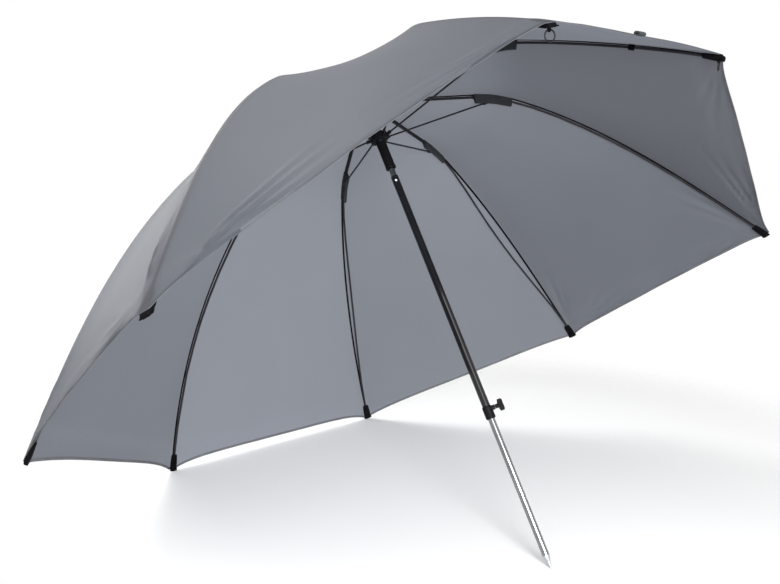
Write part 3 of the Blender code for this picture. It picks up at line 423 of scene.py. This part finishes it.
def new_piece(name, verts, faces, material, body):
    """Smooth mesh piece with its finish, which rides on a body when one is given."""
    mesh = bpy.data.meshes.new(name)
    mesh.from_pydata([tuple(v) for v in verts], [], [tuple(f) for f in faces])
    mesh.update()
    mesh.shade_smooth()
    item = bpy.data.objects.new(name, mesh)
    bpy.context.scene.collection.objects.link(item)
    mesh.materials.append(material)
    if body:
        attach(item, body)
    return item


def tangent_axis(azimuth):
    """Direction round the pole at one rib."""
    return LEAN.to_3x3() @ Vector((-math.sin(azimuth), math.cos(azimuth), 0))


def fold(item):
    """Gives the piece a mesh of its own."""
    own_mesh(item)


def bend_over_hub(item):
    """Bakes the piece's place in the world into its mesh."""
    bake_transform(item)


def gore_grid(rib, low, high):
    """Rows low to high of the half panels either side of one rib, from the one before to the one after."""
    before, after = PANEL_GRIDS[rib - 1], PANEL_GRIDS[rib]
    half = HALF_COLUMNS
    rows = slice(low, high + 1)
    points = np.concatenate([before[0][rows, half:-1], after[0][rows, :half + 1]], 1)
    normals = before[1][rows, half:], after[1][rows, :half + 1]
    width = np.concatenate([before[2][rows, half:-1] - before[2][rows, -1:], after[2][rows, :half + 1]], 1)
    down = np.concatenate([before[3][rows, half:-1], after[3][rows, :half + 1]], 1)
    return points, normals, width, down


def build_gore(rib, low, high, body, label, material):
    """One rib's share of the canopy, creased over the rib, smooth across its other edges."""
    points, (before_normal, after_normal), width, down = gore_grid(rib, low, high)
    rows, columns = points.shape[:2]
    seam = before_normal.shape[1] - 1
    index = np.arange(rows * columns).reshape(rows, columns)
    faces, normals, cloth = [], [], []
    outward = after_normal[rows // 2, 1]
    first = points[rows // 2, seam], points[rows // 2 + 1, seam], points[rows // 2, seam + 1]
    turn = np.cross(first[1] - first[0], first[2] - first[0])
    steps = ((0, 0), (1, 0), (1, 1), (0, 1)) if turn @ outward > 0 else ((0, 0), (0, 1), (1, 1), (1, 0))
    for row in range(rows - 1):
        for column in range(columns - 1):
            corners = [(row + a, column + b) for a, b in steps]
            faces.append([index[i, j] for i, j in corners])
            for i, j in corners:
                normals.append(before_normal[i, j] if column < seam else after_normal[i, j - seam])
                cloth.append((width[i, j], down[i, j]))
    name = f"canopy_{label}_{RIBS[rib][0]}"
    item = new_piece(name, points.reshape(-1, 3), faces, material, body)
    mesh = item.data
    layer = mesh.uv_layers.new(name="cloth")
    for loop, place in zip(layer.data, cloth):
        loop.uv = place
    mesh.normals_split_custom_set([tuple(n) for n in normals])
    area = sum(polygon.area for polygon in mesh.polygons)
    spans = np.linalg.norm(np.diff(points, axis=1), axis=-1).sum(1)
    lengths = np.linalg.norm(np.diff(points, axis=0), axis=-1).sum(0)
    return item, (float(spans.max()), float(lengths.max())), area


def build_canopy(material, hem_material, tape_material):
    """The cloth in three pieces for each rib, with its tapes and hem."""
    last_row = len(ROW_SHARES) - 1
    for rib, (name, _, _) in enumerate(RIBS):
        tapes = build_tapes(rib, tape_material)
        hem = build_hem(rib, hem_material)
        pieces = ((0, CROWN_ROW, None, "crown", []),
                  (CROWN_ROW, KNEE_ROW, f"rib_{name}", "top", [tapes[0]]),
                  (KNEE_ROW, last_row, f"rod_{name}", "skirt", [tapes[1], hem]))
        for low, high, body, label, trims in pieces:
            gore, flat, area = build_gore(rib, low, high, body, label, material)
            if label == "crown":
                bend_over_hub(gore)
            else:
                fold(gore)
        fold(hem)
        if rib == 0:
            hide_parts("canopy")


def strip(name, centre, across, up, width, thickness, material, body):
    """Flat band along a line of points, with square edges and closed ends."""
    corners = ((-1, -1), (1, -1), (1, 1), (-1, 1))
    rings = [centre + across * (a * width / 2) + up * (b * thickness / 2) for a, b in corners]
    rings = np.stack(rings, 1)
    count = len(centre)
    faces = []
    for i in range(count - 1):
        for k in range(4):
            m = (k + 1) % 4
            faces.append([4 * i + k, 4 * i + m, 4 * (i + 1) + m, 4 * (i + 1) + k])
    faces.append([3, 2, 1, 0])
    faces.append([4 * (count - 1) + k for k in range(4)])
    item = new_piece(name, rings.reshape(-1, 3), faces, material, body)
    item.data.set_sharp_from_angle(angle=SHARP_ANGLE)
    return item


def build_tapes(rib, material):
    """Black binding under the seam, in two lengths that part at the knee."""
    name, azimuth, pair = RIBS[rib]
    tapes = []
    spans = ((TAPE_START, KNEE_PIVOT_DISTANCE, f"rib_{name}", "top"),
             (KNEE_PIVOT_DISTANCE, PAIRS[pair][1] - TAPE_WIDTH, f"rod_{name}", "skirt"))
    for start, end, body, label in spans:
        distance = np.linspace(start, end, TAPE_STEPS)
        centre = to_world(seam_points(azimuth, pair, distance, TAPE_INSET))
        outer = to_world(seam_points(azimuth, pair, distance))
        across = np.zeros_like(centre) + np.array(tangent_axis(azimuth))
        tapes.append(strip(f"seam_tape_{label}_{name}", centre, across, unit(outer - centre), TAPE_WIDTH,
                           TAPE_THICKNESS, material, body))
    return tapes


def hem_frame(rib):
    """Hem line of one rib's gore, the way up the cloth and the way out of it."""
    points, (before_normal, after_normal), _, _ = gore_grid(rib, 0, len(ROW_SHARES) - 1)
    normal = np.concatenate([before_normal[:, :-1], after_normal], 1)
    edge, above = points[-1], points[-3]
    up_cloth = unit(above - edge)
    out = normal[-1]
    out = unit(out - up_cloth * np.sum(out * up_cloth, -1, keepdims=True))
    return edge, up_cloth, out


def build_hem(rib, material):
    """Folded hem on the inner face along the lower edge of one rib's gore."""
    edge, up_cloth, out = hem_frame(rib)
    centre = edge + up_cloth * HEM_WIDTH * HEM_INSET_SHARE - out * HEM_THICKNESS * HEM_UNDER_SHARE
    name = RIBS[rib][0]
    return strip(f"hem_{name}", centre, up_cloth, out, HEM_WIDTH, HEM_THICKNESS, material, f"rod_{name}")


def build_closure_roll(material):
    """Closing strap, rolled up and sewn to the outer face at the front hem."""
    rib = next(i for i, (name, _, _) in enumerate(RIBS) if name == "front_right")
    edge, up_cloth, out = hem_frame(rib)
    along = unit(edge[-1] - edge[-2])
    middle = edge[-1] - along * ROLL_OFFSET
    middle = middle - up_cloth[-1] * ROLL_HALF_DEPTH * ROLL_DROP_SHARE
    middle = middle + out[-1] * ROLL_HALF_HEIGHT * ROLL_STAND_SHARE
    turns = np.linspace(0, 2 * math.pi * ROLL_TURNS, ROLL_STEPS)[:, None]
    reach = np.linspace(ROLL_CORE_SHARE, 1, ROLL_STEPS)[:, None]
    spiral = up_cloth[-1] * np.cos(turns) * ROLL_HALF_DEPTH
    spiral = spiral + out[-1] * np.sin(turns) * ROLL_HALF_HEIGHT
    centre = middle + spiral * reach
    across = np.zeros_like(centre) + along
    up = unit(np.cross(along, np.gradient(centre, axis=0)))
    roll = strip("closing_strap", centre, across, up, ROLL_WIDTH, ROLL_THICKNESS, material,
                 "rod_front_right")
    fold(roll)


def build_tip_straps(material):
    """Webbing strap that crosses under the nose of each tip pocket."""
    for name, azimuth, pair in RIBS:
        tip = np.array([PAIRS[pair][1]] * 2)
        centre = to_world(seam_points(azimuth, pair, tip, TIP_STRAP_INSET))
        outer = to_world(seam_points(azimuth, pair, tip))
        before = to_world(seam_points(azimuth, pair, tip - TAPE_WIDTH, TIP_STRAP_INSET))
        tangent = np.array(tangent_axis(azimuth))
        ends = centre + np.array([[-1.0], [1.0]]) * tangent * TIP_STRAP_HALF_WIDTH
        strip(f"tip_strap_{name}", ends, unit(centre - before), unit(outer - centre), TIP_STRAP_LENGTH,
              TIP_STRAP_THICKNESS, material, f"rod_{name}")


def build_rib_ties(material):
    """Short cloth sleeve round the rod and its seam on the front ribs."""
    for name, azimuth, pair in RIBS:
        if pair != "front":
            continue
        distance = np.array([TIE_DISTANCE - TIE_LENGTH / 2, TIE_DISTANCE + TIE_LENGTH / 2])
        centre = to_world(seam_points(azimuth, pair, distance, TIE_INSET))
        outer = to_world(seam_points(azimuth, pair, distance))
        across = np.zeros_like(centre) + np.array(tangent_axis(azimuth))
        strip(f"rib_tie_{name}", centre, across, unit(outer - centre), TIE_RADIUS * 2, TIE_RADIUS * 2,
              material, f"rod_{name}")


def node_material(name):
    """New material with its nodes, links and main shader."""
    material = bpy.data.materials.new(name)
    material.use_nodes = True
    nodes = material.node_tree.nodes
    return material, nodes, material.node_tree.links, nodes["Principled BSDF"]


def noise(nodes, links, scale, detail=4.0, vector=None):
    """Noise over the piece, or over the given place."""
    texture = nodes.new("ShaderNodeTexNoise")
    texture.inputs["Scale"].default_value = scale
    texture.inputs["Detail"].default_value = detail
    if vector is None:
        vector = nodes.new("ShaderNodeTexCoord").outputs["Object"]
    links.new(vector, texture.inputs["Vector"])
    return texture.outputs["Fac"]


def ramp(nodes, links, factor, low, high, low_place=0.3, high_place=0.7):
    """Blend of two colours or two grey values by a factor."""
    node = nodes.new("ShaderNodeValToRGB")
    first, second = node.color_ramp.elements
    first.position, second.position = low_place, high_place
    first.color = (*low, 1) if hasattr(low, "__len__") else (low, low, low, 1)
    second.color = (*high, 1) if hasattr(high, "__len__") else (high, high, high, 1)
    links.new(factor, node.inputs["Fac"])
    return node.outputs["Color"]


def bump(nodes, links, shader, height, strength, distance):
    """Fine relief in a shader's normal."""
    node = nodes.new("ShaderNodeBump")
    node.inputs["Strength"].default_value = strength
    node.inputs["Distance"].default_value = distance
    links.new(height, node.inputs["Height"])
    links.new(node.outputs["Normal"], shader.inputs["Normal"])


def worn(name, colour, lighter, roughness, metallic=0.0, grain=900.0, depth=0.0002, gleam=0.5):
    """Fine-grained surface whose colour and gloss vary a little."""
    material, nodes, links, shader = node_material(name)
    shader.inputs["Specular IOR Level"].default_value = gleam
    tint = ramp(nodes, links, noise(nodes, links, TINT_SCALE), colour, lighter)
    links.new(tint, shader.inputs["Base Color"])
    least, most = roughness * (1 - GLOSS_SPREAD), roughness * (1 + GLOSS_SPREAD)
    links.new(ramp(nodes, links, noise(nodes, links, GLOSS_SCALE), least, most), shader.inputs["Roughness"])
    shader.inputs["Metallic"].default_value = metallic
    bump(nodes, links, shader, noise(nodes, links, grain, GRAIN_DETAIL), GRAIN_STRENGTH, depth)
    return material


def finish_of(values):
    """Surface from one row of the finishes."""
    *usual, other = values
    return worn(*usual, **other)


def math_node(nodes, links, operation, first, second=None):
    """Result of one sum over sockets or numbers."""
    node = nodes.new("ShaderNodeMath")
    node.operation = operation
    for socket, value in zip(node.inputs, (first, second)):
        if isinstance(value, bpy.types.NodeSocket):
            links.new(value, socket)
        elif value is not None:
            socket.default_value = value
    return node.outputs["Value"]


def stitches(nodes, links, cloth):
    """Mask of the sewn line at each side of a seam, from metres across and down the cloth."""
    parts = nodes.new("ShaderNodeSeparateXYZ")
    links.new(cloth, parts.inputs["Vector"])
    beside = math_node(nodes, links, "ABSOLUTE", parts.outputs["X"])
    away = math_node(nodes, links, "ABSOLUTE", math_node(nodes, links, "SUBTRACT", beside, STITCH_PLACE))
    on_line = math_node(nodes, links, "LESS_THAN", away, STITCH_THICKNESS)
    pitch = math_node(nodes, links, "DIVIDE", parts.outputs["Y"], STITCH_LENGTH)
    along = math_node(nodes, links, "FRACT", pitch)
    on_stitch = math_node(nodes, links, "LESS_THAN", along, STITCH_SHARE)
    return math_node(nodes, links, "MULTIPLY", on_line, on_stitch)


def fabric_material():
    """Coated polyester: fine plain weave, faint blotches, sewn seams, and light that comes through it."""
    material, nodes, links, shader = node_material("canopy_cloth")
    coordinate = nodes.new("ShaderNodeUVMap")
    coordinate.uv_map = "cloth"
    cloth = coordinate.outputs["UV"]
    blotch = noise(nodes, links, BLOTCH_SCALE, BLOTCH_DETAIL, cloth)
    thread = nodes.new("ShaderNodeMix")
    thread.data_type = "RGBA"
    links.new(stitches(nodes, links, cloth), thread.inputs["Factor"])
    links.new(ramp(nodes, links, blotch, CLOTH_DARK, CLOTH_LIGHT), thread.inputs["A"])
    thread.inputs["B"].default_value = CLOTH_THREAD
    links.new(thread.outputs["Result"], shader.inputs["Base Color"])
    shader.inputs["Roughness"].default_value = CLOTH_ROUGHNESS
    shader.inputs["Specular IOR Level"].default_value = CLOTH_GLEAM
    weave = nodes.new("ShaderNodeTexChecker")
    weave.inputs["Scale"].default_value = WEAVE_SCALE
    links.new(cloth, weave.inputs["Vector"])
    bump(nodes, links, shader, weave.outputs["Fac"], WEAVE_STRENGTH, WEAVE_DEPTH)
    through = nodes.new("ShaderNodeBsdfTranslucent")
    through.inputs["Color"].default_value = CLOTH_THROUGH
    mix = nodes.new("ShaderNodeMixShader")
    mix.inputs["Fac"].default_value = CLOTH_THROUGH_SHARE
    links.new(shader.outputs["BSDF"], mix.inputs[1])
    links.new(through.outputs["BSDF"], mix.inputs[2])
    links.new(mix.outputs["Shader"], nodes["Material Output"].inputs["Surface"])
    return material


def floor_material():
    """White floor that keeps soft shadows and fades into the white surroundings away from the object."""
    material, nodes, links, shader = node_material("floor_white")
    shader.inputs["Base Color"].default_value = FLOOR_COLOUR
    shader.inputs["Roughness"].default_value = 1.0
    shader.inputs["Specular IOR Level"].default_value = 0.0
    length = nodes.new("ShaderNodeVectorMath")
    length.operation = "LENGTH"
    links.new(nodes.new("ShaderNodeTexCoord").outputs["Object"], length.inputs[0])
    fade = nodes.new("ShaderNodeMapRange")
    fade.interpolation_type = "SMOOTHSTEP"
    fade.inputs["From Min"].default_value = FLOOR_CLEAR_RADIUS
    fade.inputs["From Max"].default_value = FLOOR_FADE_RADIUS
    links.new(length.outputs["Value"], fade.inputs["Value"])
    clear = nodes.new("ShaderNodeBsdfTransparent")
    mix = nodes.new("ShaderNodeMixShader")
    links.new(fade.outputs["Result"], mix.inputs["Fac"])
    links.new(shader.outputs["BSDF"], mix.inputs[1])
    links.new(clear.outputs["BSDF"], mix.inputs[2])
    links.new(mix.outputs["Shader"], nodes["Material Output"].inputs["Surface"])
    return material


def dress_nodes():
    """Finish of every solid that shows, by its slot in the record."""
    finishes = {slot: finish_of(values) for slot, values in FINISHES.items()}
    guard = finish_of(GUARD_FINISH)
    for part in frame["record"]["subparts"]:
        finish = guard if part["node"].startswith("knee_") else finishes.get(part["material_slot"])
        if finish is None:
            continue
        node = frame["nodes"][part["node"]]
        node.data.materials.clear()
        node.data.materials.append(finish)
        node.data.shade_smooth()
        node.data.set_sharp_from_angle(angle=SHARP_ANGLE)
    return finishes


def build_camera():
    """Camera where the photographer's stood, with the same field of view."""
    camera = bpy.data.cameras.new("view")
    camera.sensor_width = SENSOR_WIDTH
    camera.lens = FOCAL_PIXELS / IMAGE_WIDTH * SENSOR_WIDTH
    item = bpy.data.objects.new("view", camera)
    bpy.context.scene.collection.objects.link(item)
    forward = CAMERA_FORWARD.normalized()
    right = forward.cross(CAMERA_UP).normalized()
    up = right.cross(forward)
    turn = Matrix((right, up, -forward)).transposed()
    item.matrix_world = Matrix.Translation(CAMERA_PLACE) @ turn.to_4x4()
    bpy.context.scene.camera = item


def area_light(name, azimuth, height, size, power):
    """Round lamp that faces the umbrella."""
    turn, lift = math.radians(azimuth), math.radians(height)
    aim = Vector((math.cos(turn) * math.cos(lift), math.sin(turn) * math.cos(lift), math.sin(lift)))
    light = bpy.data.lights.new(name, "AREA")
    light.shape = "DISK"
    light.size = size
    light.energy = power
    item = bpy.data.objects.new(name, light)
    bpy.context.scene.collection.objects.link(item)
    item.location = LIGHT_TARGET + aim * LIGHT_DISTANCE
    item.rotation_euler = (-aim).to_track_quat("-Z", "Y").to_euler()


def build_world():
    """White behind everything for the camera and in gloss, fainter light from all round for the object."""
    scene = bpy.context.scene
    scene.view_settings.view_transform = "Standard"
    world = bpy.data.worlds.new("studio")
    scene.world = world
    world.use_nodes = True
    nodes, links = world.node_tree.nodes, world.node_tree.links
    background = nodes["Background"]
    background.inputs["Color"].default_value = (1, 1, 1, 1)
    path = nodes.new("ShaderNodeLightPath").outputs
    seen = math_node(nodes, links, "MAXIMUM", path["Is Camera Ray"], path["Is Glossy Ray"])
    clear = math_node(nodes, links, "SUBTRACT", path["Is Transmission Ray"], path["Is Diffuse Ray"])
    seen = math_node(nodes, links, "MAXIMUM", seen, clear)
    strength = nodes.new("ShaderNodeMix")
    strength.inputs["A"].default_value = ROOM_LIGHT
    strength.inputs["B"].default_value = 1.0
    links.new(seen, strength.inputs["Factor"])
    links.new(strength.outputs["Result"], background.inputs["Strength"])


def build_surroundings():
    """The world, the floor and the lamps."""
    build_world()
    bpy.ops.mesh.primitive_circle_add(vertices=FLOOR_SIDES, radius=FLOOR_FADE_RADIUS, fill_type="NGON",
                                      location=FLOOR_CENTRE)
    floor = bpy.context.object
    floor.name = "floor"
    floor.data.materials.append(floor_material())
    for name, values in LIGHTS.items():
        area_light(name, *values)


finishes = dress_nodes()
hem_cloth = finish_of(HEM_FINISH)
build_canopy(fabric_material(), hem_cloth, finishes["pocket_trim"])
build_closure_roll(finish_of(STRAP_FINISH))
build_tip_straps(finishes["pocket_trim"])
build_rib_ties(finishes["pocket_trim"])
build_camera()
build_surroundings()
